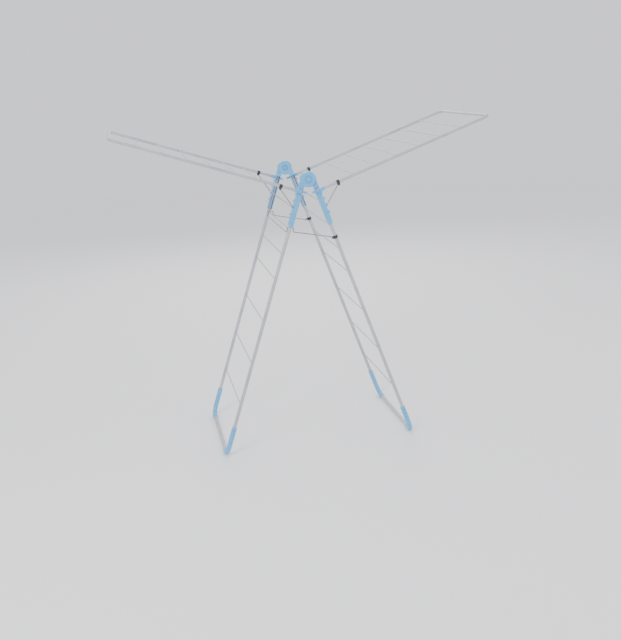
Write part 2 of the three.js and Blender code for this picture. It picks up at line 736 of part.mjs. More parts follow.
const pinFrame = frameAt(mainPivot, 0);
const rightLeg = frameAt(mainPivot, legDirection(RIGHT));
rack.add(pinFrame, rightLeg);
for (const [endName, end] of Object.entries(ENDS)) {
  add(pinFrame, `${endName}_main_pin`, mainPin(end), BLUE_PLASTIC);
  add(pinFrame, `${endName}_pin_cap`, pinCap(end), BLUE_PLASTIC);
  const shape = clip(
    SPREADER_CLIP_WALL,
    LEG_TUBE_RADIUS,
    LEG_TUBE_SIDES,
    LEG_HALF_WIDTH,
    -SPREADER_CLIP_IN,
    end,
  );
  const spreaderClip = add(rightLeg, `${endName}_spreader_clip`, shape, BLACK_PLASTIC);
  spreaderClip.position.set(SPREADER_CLIP_DOWN, 0, LEG_OFFSET);
}

export default rack;
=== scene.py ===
"""A folding clothes drying rack: tubes, welded rungs, moulded knuckles, clips and bent wires round its frame.

Metres, +Z up. Left is -X and right is +X, front is -Y and rear is +Y. Each leg and each wing is drawn in
its own flat frame: "along" runs down the leg or out along the wing, and "out" is square to it, away from
the middle of the rack on a leg and upwards on a wing. Y is the same everywhere.
"""

import json
import math

import bmesh
import bpy
import numpy as np
from mathutils import Matrix, Vector


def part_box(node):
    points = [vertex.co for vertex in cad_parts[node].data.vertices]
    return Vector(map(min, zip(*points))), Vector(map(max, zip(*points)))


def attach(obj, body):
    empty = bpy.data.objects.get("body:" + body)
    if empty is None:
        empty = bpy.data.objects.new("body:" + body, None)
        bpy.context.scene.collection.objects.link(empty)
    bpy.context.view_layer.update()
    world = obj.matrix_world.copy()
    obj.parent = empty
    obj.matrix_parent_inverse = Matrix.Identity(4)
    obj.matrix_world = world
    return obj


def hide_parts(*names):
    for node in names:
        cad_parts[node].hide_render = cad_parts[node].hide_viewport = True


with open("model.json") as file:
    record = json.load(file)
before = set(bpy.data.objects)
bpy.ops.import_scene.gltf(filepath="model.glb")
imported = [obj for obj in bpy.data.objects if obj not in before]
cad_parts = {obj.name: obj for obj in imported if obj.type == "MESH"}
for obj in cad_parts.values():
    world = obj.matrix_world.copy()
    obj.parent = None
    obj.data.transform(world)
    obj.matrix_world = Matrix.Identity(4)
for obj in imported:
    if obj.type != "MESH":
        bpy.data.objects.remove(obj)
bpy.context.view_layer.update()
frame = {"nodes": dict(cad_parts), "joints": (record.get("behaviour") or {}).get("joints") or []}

JOINTS = {joint["name"]: joint for joint in frame["joints"]}
SIDES = {"left": -1, "right": 1}
ENDS = {"front": -1, "rear": 1}

# Tubes, wires and rungs
LEG_TUBE_RADIUS = 0.007
WING_TUBE_RADIUS = 0.006
TUBE_WALL = 0.001
WIRE_RADIUS = 0.002
RUNG_RADIUS = 0.00225
RUNGS_PER_PART = 6
LEG_BEND_RADIUS = 0.042
WING_BEND_RADIUS = 0.03
PROP_BEND_RADIUS = 0.005
HOOK_BEND_RADIUS = 0.0035
MOUTH_EASE = 0.0005
WELD_REACH = 0.0045
WELD_SWELL = 0.0014
GAP = 0.00035
LEG_RUNG_GAP = 0.0006  # from a rung's end in the frame to the tube's wall
WING_RUNG_GAP = 0.00056
RUNG_ROOT_SHARE = 0.4  # of the tube's radius, from its wall inwards

# Knuckles
DISC_RADIUS = 0.031
KNUCKLE_OUTER = 0.2624
KNUCKLE_DEPTH = 0.024
KNUCKLE_INNER = KNUCKLE_OUTER - KNUCKLE_DEPTH
KNUCKLE_MIDDLE = KNUCKLE_OUTER - KNUCKLE_DEPTH / 2
ARM_HALF_WIDTH = 0.010
ARM_END_RADIUS = 0.007
ARM_BACK_WALL = 0.003
CHANNEL_TOP = 0.044
MOULD_EDGE = 0.0009
ARM_EDGE = 0.0004  # small, because the teeth's lips are thin
TOOTH_PITCH = 0.028
TOOTH_COUNT = 4
SEATED_TOOTH = 2
TOOTH_HEIGHT = 0.0064
SEAT_WIDTH = 0.0049
SEAT_LEDGE = 0.0024
PANEL_DEPTH = 0.0008
PANEL_START = 0.072
PANEL_END_MARGIN = 0.011
PANEL_HALF_WIDTH = 0.0048
PANEL_EDGE = 0.0004
ARM_START = 0.004
DISC_EDGE = 0.0016
DISC_CLEARANCE = 0.0008
HUB_RECESS_RADIUS = 0.013
HUB_RECESS_DEPTH = 0.004
# The ring cut into a disc's face: radius, and height above the face
GROOVE_PROFILE = [
    (0.0089, 0.001),
    (0.0095, -0.0006),
    (0.0097, -0.0025),
    (0.0157, -0.0025),
    (0.0160, -0.0006),
    (0.0166, 0.001),
]
CUT_PAST = 0.002  # how far a cutter runs past the face that it opens

# Pins, wing joints, clips and sleeves
MAIN_PIN_RADIUS = 0.004
WING_PIN_RADIUS = 0.003
PIN_CLEARANCE = 0.00035
PIN_HOLE_SIDES = 24
MAIN_HEAD_RADIUS = 0.007
MAIN_HEAD_EDGE = 0.002
MAIN_HEAD_DOME = 0.0012
MAIN_FLANGE_RADIUS = 0.0058
MAIN_RIVET_RADIUS = 0.0055
MAIN_RIVET_EDGE = 0.0004
MAIN_RIVET_DOME = 0.001
WING_HEAD_RADIUS = 0.0055
WING_HEAD_EDGE = 0.0008
WING_HEAD_DOME = 0.0016
WING_FLANGE_EDGE = 0.0006
WING_RIVET_SHOULDER = 0.0046
WING_RIVET_RADIUS = 0.0044
WING_RIVET_DOME = 0.0018
# A cap's section up to its middle dome: radius, and height above the disc's face
CAP_PROFILE = [
    (0, 0.0018),
    (0.0065, 0.0018),
    (0.0065, 0),
    (0.0090, 0),
    (0.0090, 0.0019),
    (0.0085, 0.0026),
    (0.0078, 0.0029),
    (0.0071, 0.0027),
    (0.0066, 0.0024),
    (0.0058, 0.0024),
]
CAP_DOME_RADIUS = 0.0052
CAP_DOME_BASE = 0.0024
CAP_DOME_RISE = 0.0012
JOINT_OUTER = 0.283
JOINT_BOSS_RADIUS = 0.0075
JOINT_BLOCK_END = 0.014
TAIL_LENGTH = 0.026
TAIL_RADIUS = 0.0045
TAIL_THICKNESS = 0.006
TAIL_ROOT = 0.003
JOINT_EDGE = 0.0008
JOINT_BLOCK_EDGE = 0.0012
JOINT_BLOCK_INSET = 0.0005
JOINT_CORE = 0.0001
# The collar round a wing tube's end: radius, and distance along the wing
COLLAR_PROFILE = [
    (0.0045, 0.010),
    (WING_TUBE_RADIUS + 0.0012, 0.010),
    (WING_TUBE_RADIUS + 0.0012, 0.026),
    (WING_TUBE_RADIUS + 0.0006, 0.0272),
    (0.0045, 0.0272),
]
CLIP_HALF_LENGTH = 0.006
CLIP_EDGE = 0.0007
CLIP_FIT = 0.0002
PROP_CLIP_WALL = 0.0022
SPREADER_CLIP_WALL = 0.0024
EAR_RADIUS = 0.0046
EAR_INSET = 0.0046
EAR_OUTER_INSET = 0.002
EAR_ROOT_SHARE = 0.75  # of the bore's radius
BORE_REACH = 0.02
SLEEVE_RADIUS = 0.0105
SLEEVE_FIT = 0.00015
SLEEVE_MOUTH_STATIONS = [0.0003, 0.0010, 0.0055]
SLEEVE_MOUTH_WALLS = [0.0010, 0.0015, 0.0019]
SLEEVE_SLOTS = 4
FIRST_SLOT = 0.0135
SLOT_PITCH = 0.018
SLOT_HALF_LENGTH = 0.0068
SLOT_HALF_WIDTH = 0.0032
SLOT_SLANT = math.radians(35)
SLOT_FLOOR = 0.0008  # from the tube's wall
SLOT_EDGE = 0.0003

# The studio
CAMERA_TURN = (0.1974, 0.2712, -0.0517)  # yaw, pitch and roll in radians
CAMERA_FROM_PIVOT = (-0.7062, -3.6873, 0.4048)
CAMERA_LENS = 50.23
FLOOR_RADIUS = 8.0
FLOOR_RINGS = [0.5, 3.0]
SWEEP_CHORDS = 23
SWEEP_RADIUS = 3.2

# Props and the spreader
PROP_ARM_Y = 0.2664
SPREADER_ARM_Y = 0.2335
SPREADER_RISE = math.radians(12)
HOOK_WIDTH = 0.024
HOOK_DEPTH = 0.022
HOOK_PLAY = 0.0005

ROUND = 48  # facets round a turned piece
TUBE_SIDES = 28
WIRE_SIDES = 16
DISC_SIDES = 96
GROOVE_SIDES = 72
FLOOR_SIDES = 96
BEND_CHORDS = 18
WIRE_BEND_CHORDS = 8
SHARP_ANGLE = math.radians(32)


# Flat frames


class FlatFrame:
    """A plane square to Y, with its own origin and two axes in X and Z."""

    def __init__(self, origin, along, out_side):
        self.origin = np.array([origin[0], origin[2]], float)
        self.along = np.array(along, float) / np.hypot(*along)
        square = np.array([-self.along[1], self.along[0]])
        self.out = square if square @ np.array(out_side) > 0 else -square

    def place(self, points):
        """Local (along, y, out) to world (x, y, z): the origin plus each part times its axis."""
        points = np.asarray(points, float)
        flat = self.origin + points[..., :1] * self.along + points[..., 2:3] * self.out
        return np.stack([flat[..., 0], points[..., 1], flat[..., 1]], axis=-1)

    def local(self, x, z):
        """World (x, z) to local (along, out)."""
        offset = np.array([x, z]) - self.origin
        return offset @ self.along, offset @ self.out


def centre(node):
    """The middle of a node's box, as (x, z)."""
    low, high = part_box(node)
    return (low.x + high.x) / 2, (low.z + high.z) / 2


def between(first, second):
    """The direction in X and Z from one place to another."""
    return np.array(second) - np.array(first)


def leg_frame(side_name):
    rungs = [centre(f"{side_name}_leg_rung_{i}") for i in (1, RUNGS_PER_PART)]
    pivot = JOINTS["right_leg_fold"]["pos_m"]
    return FlatFrame(pivot, between(*rungs), (SIDES[side_name], 0))


def wing_frame(side_name):
    rungs = [centre(f"{side_name}_wing_rung_{i}") for i in (1, RUNGS_PER_PART)]
    return FlatFrame(JOINTS[f"{side_name}_wing_fold"]["pos_m"], between(*rungs), (0, 1))


LEGS = {name: leg_frame(name) for name in SIDES}
WINGS = {name: wing_frame(name) for name in SIDES}


def stations(flat_frame, part_name):
    """How far along its frame each rung of a leg or wing lies."""
    names = [f"{part_name}_rung_{i + 1}" for i in range(RUNGS_PER_PART)]
    return [flat_frame.local(*centre(name))[0] for name in names]


LEG_OFFSET = LEGS["right"].local(*centre("right_leg_rung_1"))[1]
WING_PIVOT = LEGS["right"].local(*np.array(JOINTS["right_wing_fold"]["pos_m"])[[0, 2]])
PROP_PIVOT = WINGS["right"].local(*np.array(JOINTS["right_prop_swing"]["pos_m"])[[0, 2]])
SPREADER_PIVOT = LEGS["right"].local(*np.array(JOINTS["spreader_swing"]["pos_m"])[[0, 2]])
ARM_OUT = LEG_OFFSET + ARM_HALF_WIDTH
ARM_IN = LEG_OFFSET - ARM_HALF_WIDTH


def reach_of(flat_frame, node):
    """The least and greatest distance along a frame that a node's mesh reaches."""
    mesh = frame["nodes"][node].data
    points = np.empty(len(mesh.vertices) * 3)
    mesh.vertices.foreach_get("co", points)
    along = (points.reshape(-1, 3)[:, [0, 2]] - flat_frame.origin) @ flat_frame.along
    return float(along.min()), float(along.max())


def foot_bar_along():
    """How far down the leg the foot bar lies: where its centre is a sleeve's radius above the floor."""
    leg = LEGS["left"]
    return (SLEEVE_RADIUS - leg.origin[1] - LEG_OFFSET * leg.out[1]) / leg.along[1]


LEG_HALF_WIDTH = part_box("left_leg_rung_1")[1].y + LEG_TUBE_RADIUS + LEG_RUNG_GAP
WING_HALF_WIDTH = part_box("left_wing_rung_1")[1].y + WING_TUBE_RADIUS + WING_RUNG_GAP
LEG_LENGTH = foot_bar_along()
WING_LENGTH = reach_of(WINGS["left"], "left_wing_tube")[1] - WING_TUBE_RADIUS
ARM_LENGTH = reach_of(LEGS["left"], "left_front_knuckle")[1]
SLEEVE_TOP = reach_of(LEGS["left"], "left_front_foot_sleeve")[0]
SLEEVE_BAR_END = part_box("left_rear_foot_sleeve")[0].y


# Meshes


def mesh_object(name, vertices, faces):
    """A closed mesh with its doubles merged, its faces outwards, and its sharp edges kept sharp."""
    mesh = bpy.data.meshes.new(name)
    mesh.from_pydata(np.asarray(vertices).reshape(-1, 3).tolist(), [], faces)
    cleaned(mesh)
    piece = bpy.data.objects.new(name, mesh)
    bpy.context.scene.collection.objects.link(piece)
    return piece


def cleaned(mesh):
    work = bmesh.new()
    work.from_mesh(mesh)
    bmesh.ops.remove_doubles(work, verts=work.verts, dist=1e-6)
    bmesh.ops.dissolve_degenerate(work, edges=work.edges, dist=1e-7)
    bmesh.ops.recalc_face_normals(work, faces=work.faces)
    work.to_mesh(mesh)
    work.free()
    mesh.shade_smooth()
    mesh.set_sharp_from_angle(angle=SHARP_ANGLE)


def grid_faces(rows, columns, wrap_rows, cap):
    """Quads between neighbouring rows of a grid whose columns go round; the end rows may be capped."""
    row = np.arange(rows if wrap_rows else rows - 1)[:, None]
    column = np.arange(columns)[None, :]
    next_row = (row + 1) % rows
    next_column = (column + 1) % columns
    corners = [
        row * columns + column,
        row * columns + next_column,
        next_row * columns + next_column,
        next_row * columns + column,
    ]
    faces = np.stack(np.broadcast_arrays(*corners), axis=-1).reshape(-1, 4).tolist()
    if cap:
        faces.append(list(range(columns))[::-1])
        faces.append(list(range((rows - 1) * columns, rows * columns)))
    return faces


def skin(name, grid, wrap_rows=False, cap=True):
    """The surface through a grid of points, rows by columns by 3, closed round its columns."""
    rows, columns = grid.shape[:2]
    return mesh_object(name, grid, grid_faces(rows, columns, wrap_rows, cap and not wrap_rows))


def rounded_path(corners, radius, chords=10):
    """A path through corners: each corner gives way to an arc that is tangent to both of its sides.

    An arc's point is its start, plus the incoming direction times radius sin(a), plus the inward
    direction times radius (1 - cos(a)), as a goes from 0 to the corner's turn.
    """
    corners = np.asarray(corners, float)
    pieces = [corners[:1]]
    for before, corner, after in zip(corners, corners[1:], corners[2:]):
        incoming = (corner - before) / np.linalg.norm(corner - before)
        outgoing = (after - corner) / np.linalg.norm(after - corner)
        turn = math.acos(np.clip(incoming @ outgoing, -1, 1))
        inward = outgoing - incoming * math.cos(turn)
        inward /= np.linalg.norm(inward)
        start = corner - incoming * radius * math.tan(turn / 2)
        angle = np.linspace(0, turn, chords + 1)[:, None]
        arc = start + radius * (incoming * np.sin(angle) + inward * (1 - np.cos(angle)))
        pieces.append(arc)
    pieces.append(corners[-1:])
    return np.concatenate(pieces)


def path_frames(path):
    """Two directions square to a path at each of its points, carried along it without twist."""
    steps = np.diff(path, axis=0)
    steps /= np.linalg.norm(steps, axis=1)[:, None]
    tangents = np.concatenate([steps[:1], steps[:-1] + steps[1:], steps[-1:]])
    tangents /= np.linalg.norm(tangents, axis=1)[:, None]
    seed = np.eye(3)[np.argmin(np.abs(tangents[0]))]
    first = np.empty_like(path)
    normal = seed
    for i, tangent in enumerate(tangents):
        normal = normal - tangent * (normal @ tangent)
        normal = normal / np.linalg.norm(normal)
        first[i] = normal
    return first, np.cross(tangents, first)


def rings_along(path, radii, sides):
    """A ring round each station of a path: point = path + radius (cos(a) first + sin(a) second)."""
    first, second = path_frames(path)
    angle = np.linspace(0, 2 * math.pi, sides, endpoint=False)[None, :, None]
    turn = np.cos(angle) * first[:, None] + np.sin(angle) * second[:, None]
    return path[:, None] + np.broadcast_to(radii, len(path))[:, None, None] * turn


def swept(name, path, radii, sides):
    """A round profile carried along a path, closed at both ends."""
    return skin(name, rings_along(path, radii, sides))


def hollow(name, path, outer, inner, sides):
    """A tube's wall: its outside carried along a path, and its bore carried back, joined at both mouths."""
    outside, bore = rings_along(path, outer, sides), rings_along(path, inner, sides)
    return skin(name, np.concatenate([outside, bore[::-1]]), wrap_rows=True)


def with_end_stations(path, reaches):
    """A path with more stations at these distances from each of its ends."""
    reaches = np.asarray(reaches, float)[:, None]
    forwards = (path[1] - path[0]) / np.linalg.norm(path[1] - path[0])
    back = (path[-2] - path[-1]) / np.linalg.norm(path[-2] - path[-1])
    head, tail = path[0] + reaches * forwards, path[-1] + reaches[::-1] * back
    return np.concatenate([path[:1], head, path[1:-1], tail, path[-1:]])


def end_radii(path, radii, middle):
    """One radius for each station: these from each end inwards, and the middle one between."""
    result = np.full(len(path), middle)
    result[: len(radii)] = radii
    result[-len(radii) :] = radii[::-1]
    return result


def turned(name, profile, at, axis="y", sides=ROUND, flat_frame=None):
    """A closed profile of (radius, height) turned about an axis along Y, or along a frame's "along".

    A point is at + height along the axis + radius (cos(a), sin(a)) square to it. A profile that starts
    and ends at radius 0 closes on the axis; any other goes round as a ring.
    """
    profile = np.asarray(profile, float)
    radius, height = profile[:, :1], profile[:, 1:]
    angle = np.linspace(0, 2 * math.pi, sides, endpoint=False)[None, :]
    across, up = radius * np.cos(angle), radius * np.sin(angle)
    height = np.broadcast_to(height, across.shape)
    if axis == "y":
        local = np.stack([at[0] + across, at[1] + height, at[2] + up], axis=-1)
    else:
        local = np.stack([at[0] + height, at[1] + across, at[2] + up], axis=-1)
    grid = flat_frame.place(local) if flat_frame else local
    closes_on_axis = profile[0, 0] == 0 and profile[-1, 0] == 0
    return skin(name, grid, wrap_rows=not closes_on_axis, cap=False)


def softened(profile, radius, chords=4):
    """A closed list of (radius, height) corners with each corner rounded by an arc."""
    profile = np.asarray(profile, float)
    count = len(profile)
    result = []
    for i in range(count):
        before, corner, after = profile[i - 1], profile[i], profile[(i + 1) % count]
        reach = min(np.hypot(*(before - corner)), np.hypot(*(after - corner))) * 0.45
        turn_in = (before - corner) / np.hypot(*(before - corner))
        turn_out = (after - corner) / np.hypot(*(after - corner))
        cut = min(radius, reach)
        t = np.linspace(0, 1, chords + 1)[:, None]
        start, end = corner + turn_in * cut, corner + turn_out * cut
        result.append((1 - t) ** 2 * start + 2 * t * (1 - t) * corner + t**2 * end)
    return np.concatenate(result)


def outline_normals(outline):
    """Outward directions at the points of a closed outline that runs anticlockwise."""
    edges = np.roll(outline, -1, axis=0) - outline
    edges /= np.linalg.norm(edges, axis=1)[:, None]
    square = np.stack([edges[:, 1], -edges[:, 0]], axis=1)
    both = square + np.roll(square, 1, axis=0)
    both /= np.linalg.norm(both, axis=1)[:, None]
    return both


def anticlockwise(outline):
    outline = np.asarray(outline, float)
    following = np.roll(outline, -1, axis=0)
    area = np.sum(outline[:, 0] * following[:, 1] - following[:, 0] * outline[:, 1])
    return outline if area > 0 else outline[::-1]


def plate(name, outline, low, high, flat_frame, edge=MOULD_EDGE, chords=3):
    """An outline of (along, out) made thick along Y, with round edges.

    Row k of the edge is the outline moved inwards by edge (1 - sin(a)) at a height edge (1 - cos(a)) from
    the face, as a goes from 0 to a quarter turn.
    """
    outline = anticlockwise(outline)
    normals = outline_normals(outline)
    low, high = min(low, high), max(low, high)
    angle = np.linspace(0, math.pi / 2, chords + 1)
    inwards = edge * (1 - np.sin(angle))
    rise = edge * (1 - np.cos(angle))
    heights = np.concatenate([low + rise, (high - rise)[::-1]])
    insets = np.concatenate([inwards, inwards[::-1]])
    rows = outline[None] - normals[None] * insets[:, None, None]
    y = np.broadcast_to(heights[:, None], rows.shape[:2])
    local = np.stack([rows[..., 0], y, rows[..., 1]], axis=-1)
    return skin(name, flat_frame.place(local))


def arc(centre_point, radius, start, end, chords=8):
    """Points of an arc between two angles in degrees."""
    angle = np.radians(np.linspace(start, end, chords + 1))
    return [(centre_point[0] + radius * math.cos(a), centre_point[1] + radius * math.sin(a)) for a in angle]


def combined(piece, others, operation):
    """Joins or cuts a piece with other closed pieces, which are used up."""
    for other in others:
        modifier = piece.modifiers.new(operation.lower(), "BOOLEAN")
        modifier.operation = operation
        modifier.solver = "EXACT"
        modifier.object = other
        graph = bpy.context.evaluated_depsgraph_get()
        result = bpy.data.meshes.new_from_object(piece.evaluated_get(graph))
        piece.modifiers.clear()
        old = piece.data
        piece.data = result
        result.name = old.name
        bpy.data.meshes.remove(old)
        bpy.data.objects.remove(other)
    cleaned(piece.data)
    return piece


def joined(piece, *others):
    return combined(piece, others, "UNION")


def cut(piece, *others):
    return combined(piece, others, "DIFFERENCE")


def cylinder(radius, low, high, at, sides=ROUND, **where):
    """A plain round cutter."""
    low, high = min(low, high), max(low, high)
    return turned("cutter", [(0, low), (radius, low), (radius, high), (0, high)], at, sides=sides, **where)


def end_span(end, inner, outer):
    """The stretch of Y between two distances from the middle of the rack, lowest first."""
    return (inner, outer) if end > 0 else (-outer, -inner)


# Materials


def new_material(name):
    material = bpy.data.materials.new(name)
    material.use_nodes = True
    tree = material.node_tree
    return material, tree, tree.nodes["Principled BSDF"]


def noise(tree, scale, detail=2.0, stretch=(1, 1, 1)):
    """Noise on Object coordinates; stretch lengthens it along an axis."""
    coordinates = tree.nodes.new("ShaderNodeTexCoord")
    mapping = tree.nodes.new("ShaderNodeMapping")
    mapping.inputs["Scale"].default_value = stretch
    texture = tree.nodes.new("ShaderNodeTexNoise")
    texture.inputs["Scale"].default_value = scale
    texture.inputs["Detail"].default_value = detail
    tree.links.new(coordinates.outputs["Object"], mapping.inputs["Vector"])
    tree.links.new(mapping.outputs["Vector"], texture.inputs["Vector"])
    return texture.outputs["Fac"]


def ramp(tree, value, stops):
    """A colour ramp with (place, colour) stops."""
    node = tree.nodes.new("ShaderNodeValToRGB")
    elements = node.color_ramp.elements
    while len(elements) < len(stops):
        elements.new(0.5)
    for element, (place, colour) in zip(elements, stops):
        element.position = place
        element.color = (*colour, 1)
    tree.links.new(value, node.inputs["Fac"])
    return node.outputs["Color"]


def remapped(tree, value, low, high, source=(0.3, 0.7)):
    node = tree.nodes.new("ShaderNodeMapRange")
    node.inputs["From Min"].default_value = source[0]
    node.inputs["From Max"].default_value = source[1]
    node.inputs["To Min"].default_value = low
    node.inputs["To Max"].default_value = high
    tree.links.new(value, node.inputs["Value"])
    return node.outputs["Result"]


def bumped(tree, shader, height, distance, strength):
    node = tree.nodes.new("ShaderNodeBump")
    node.inputs["Distance"].default_value = distance
    node.inputs["Strength"].default_value = strength
    tree.links.new(height, node.inputs["Height"])
    tree.links.new(node.outputs["Normal"], shader.inputs["Normal"])


def powder_coat(name, bright, dull):
    """Baked powder: an even pale grey-white, faint orange peel, a little cloudiness in colour and gloss."""
    material, tree, shader = new_material(name)
    cloud = noise(tree, 14, 3)
    tree.links.new(ramp(tree, cloud, [(0.35, dull), (0.62, bright)]), shader.inputs["Base Color"])
    tree.links.new(remapped(tree, noise(tree, 60), 0.34, 0.46), shader.inputs["Roughness"])
    shader.inputs["Coat Weight"].default_value = 0.25
    shader.inputs["Coat Roughness"].default_value = 0.22
    bumped(tree, shader, noise(tree, 900, 1), 0.00025, 0.16)
    return material


def moulded_plastic(name, bright, dull, gloss, coat):
    """Injection-moulded plastic: fine spark-eroded grain under a soft gloss, with faint flow clouds."""
    material, tree, shader = new_material(name)
    cloud = noise(tree, 45, 3)
    tree.links.new(ramp(tree, cloud, [(0.3, dull), (0.7, bright)]), shader.inputs["Base Color"])
    tree.links.new(remapped(tree, noise(tree, 220), *gloss), shader.inputs["Roughness"])
    shader.inputs["Coat Weight"].default_value = coat
    shader.inputs["Coat Roughness"].default_value = 0.3
    bumped(tree, shader, noise(tree, 2600, 2), 0.0001, 0.22)
    return material


def plated_steel(name, bright, dull, gloss):
    """Zinc-plated steel: drawn streaks along Y, and patches where the plating has dulled."""
    material, tree, shader = new_material(name)
    patches = noise(tree, 90, 4)
    tree.links.new(ramp(tree, patches, [(0.34, dull), (0.6, bright)]), shader.inputs["Base Color"])
    tree.links.new(remapped(tree, noise(tree, 160, 3), *gloss), shader.inputs["Roughness"])
    shader.inputs["Metallic"].default_value = 0.85
    bumped(tree, shader, noise(tree, 1400, 2, (1, 0.06, 1)), 0.00012, 0.2)
    return material


MATERIALS = {
    "white_powder_coat": powder_coat("white_powder_coat", (0.47, 0.47, 0.50), (0.40, 0.40, 0.43)),
    "white_wire": powder_coat("white_wire", (0.43, 0.43, 0.47), (0.35, 0.35, 0.39)),
    "blue_plastic": moulded_plastic(
        "blue_plastic", (0.13, 0.43, 0.74), (0.10, 0.38, 0.68), (0.3, 0.42), 0.25
    ),
    "black_plastic": moulded_plastic(
        "black_plastic", (0.025, 0.026, 0.029), (0.016, 0.017, 0.019), (0.4, 0.55), 0.1
    ),
    "grey_wire": plated_steel("grey_wire", (0.33, 0.34, 0.36), (0.20, 0.21, 0.22), (0.26, 0.44)),
    "steel_pin": plated_steel("steel_pin", (0.42, 0.42, 0.43), (0.27, 0.27, 0.28), (0.28, 0.42)),
}


def fitted(piece, node, slot, body):
    """Gives a finished piece its material and its body, and hides the node that it stands for."""
    piece.data.materials.clear()
    piece.data.materials.append(MATERIALS[slot])
    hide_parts(node)
    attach(piece, body)
    return piece


# Leg and wing frames


def frame_tube(name, flat_frame, start, length, half_width, out, radius, bend):
    """A U of tube: down one side, across, and back up the other, with round bends and open, eased mouths."""
    corners = [(start, -half_width), (length, -half_width), (length, half_width), (start, half_width)]
    path = rounded_path(flat_frame.place([(u, y, out) for u, y in corners]), bend, BEND_CHORDS)
    path = with_end_stations(path, [MOUTH_EASE / 3, MOUTH_EASE])
    outer = end_radii(path, [radius - MOUTH_EASE, radius - MOUTH_EASE / 3], radius)
    return hollow(name, path, outer, radius - TUBE_WALL, TUBE_SIDES)


def rung(name, flat_frame, along, out, reach, tube_radius):
    """A straight wire from tube to tube that swells into a weld bead at each end.

    Its radius is the wire's, plus the bead's swell times (1 - d / reach of the weld) squared, where d is
    the distance from the tube's wall.
    """
    weld = np.linspace(0, WELD_REACH, 7)
    swell = WELD_SWELL * (1 - weld / WELD_REACH) ** 2
    wall = reach - tube_radius
    root = reach - tube_radius * RUNG_ROOT_SHARE
    y = np.concatenate([[-root], -wall + weld, (wall - weld)[::-1], [root]])
    radii = RUNG_RADIUS + np.concatenate([[WELD_SWELL], swell, swell[::-1], [WELD_SWELL]])
    local = np.stack([np.full_like(y, along), y, np.full_like(y, out)], axis=-1)
    return swept(name, flat_frame.place(local), radii, WIRE_SIDES)


def make_frames():
    for side_name in SIDES:
        leg, wing = LEGS[side_name], WINGS[side_name]
        leg_body, wing_body = f"{side_name}_leg", f"{side_name}_wing"
        tube = frame_tube(
            f"{side_name}_leg_frame",
            leg,
            CHANNEL_TOP + GAP,
            LEG_LENGTH,
            LEG_HALF_WIDTH,
            LEG_OFFSET,
            LEG_TUBE_RADIUS,
            LEG_BEND_RADIUS,
        )
        fitted(tube, f"{side_name}_leg_tube", "white_powder_coat", leg_body)
        for i, along in enumerate(stations(leg, leg_body)):
            node = f"{leg_body}_rung_{i + 1}"
            piece = rung(f"{node}_wire", leg, along, LEG_OFFSET, LEG_HALF_WIDTH, LEG_TUBE_RADIUS)
            fitted(piece, node, "white_wire", leg_body)
        tube = frame_tube(
            f"{side_name}_wing_frame",
            wing,
            JOINT_BLOCK_END + GAP,
            WING_LENGTH,
            WING_HALF_WIDTH,
            0,
            WING_TUBE_RADIUS,
            WING_BEND_RADIUS,
        )
        fitted(tube, f"{side_name}_wing_tube", "white_powder_coat", wing_body)
        for i, along in enumerate(stations(wing, wing_body)):
            node = f"{wing_body}_rung_{i + 1}"
            piece = rung(f"{node}_wire", wing, along, 0, WING_HALF_WIDTH, WING_TUBE_RADIUS)
            fitted(piece, node, "white_wire", wing_body)


# Knuckles


def seat_along(tooth):
    """How far down the arm a tooth holds the prop's crossbar, counted back from the seated one."""
    crossbar = LEGS["right"].local(*prop_crossbar("right"))[0]
    return crossbar + (tooth - SEATED_TOOTH) * TOOTH_PITCH


def prop_crossbar(side_name):
    """The middle of the prop's crossbar, as (x, z): the end of the prop's box farthest from its pivot."""
    low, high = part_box(f"{side_name}_prop")
    x = low.x if side_name == "right" else high.x
    inward = WIRE_RADIUS if side_name == "right" else -WIRE_RADIUS
    return x + inward, low.z + WIRE_RADIUS


def tooth_outline(seat):
    """A hook: a ledge that the crossbar rests on, a lip round it, and a slope back to the arm.

    Each point is a distance down from the crossbar's centre, and one outwards from the arm's edge.
    """
    ledge, lip, tip = SEAT_LEDGE, SEAT_WIDTH, TOOTH_HEIGHT
    profile = [
        (-0.0060, 0),
        (ledge - 0.0007, 0),
        (ledge, 0.0007),
        (ledge, lip - 0.0005),
        (ledge - 0.0005, lip),
        (-0.0009, lip),
        (-0.0014, lip + 0.0003),
        (-0.0013, tip - 0.0005),
        (-0.0004, tip - 0.0001),
        (0.0014, tip),
        (0.0034, tip - 0.0006),
        (0.0088, 0.0007),
        (0.0104, 0),
    ]
    return [(seat + down, ARM_OUT + out) for down, out in profile]


def arm_outline():
    points = [(ARM_START, ARM_IN), (ARM_START, ARM_OUT)]
    for tooth in range(TOOTH_COUNT):
        points.extend(tooth_outline(seat_along(tooth)))
    end = ARM_LENGTH - ARM_END_RADIUS
    points.extend(arc((end, ARM_OUT - ARM_END_RADIUS), ARM_END_RADIUS, 90, 0))
    points.extend(arc((end, ARM_IN + ARM_END_RADIUS), ARM_END_RADIUS, 0, -90))
    return points


def block(name, along, y, out, flat_frame, edge=0.0):
    """A box between two distances along, across and out, with round edges if edge isn't 0."""
    outline = [(along[0], out[0]), (along[1], out[0]), (along[1], out[1]), (along[0], out[1])]
    if edge:
        outline = softened(outline, edge)
        return plate(name, outline, *y, flat_frame, edge=edge * 0.8)
    corners = [[(u, height, v) for u, v in outline] for height in y]
    return skin(name, flat_frame.place(corners))


def slot_outline(start, end, middle, half_width):
    """A long shape with round ends."""
    left = arc((start + half_width, middle), half_width, 90, 270)
    right = arc((end - half_width, middle), half_width, -90, 90)
    return left + right


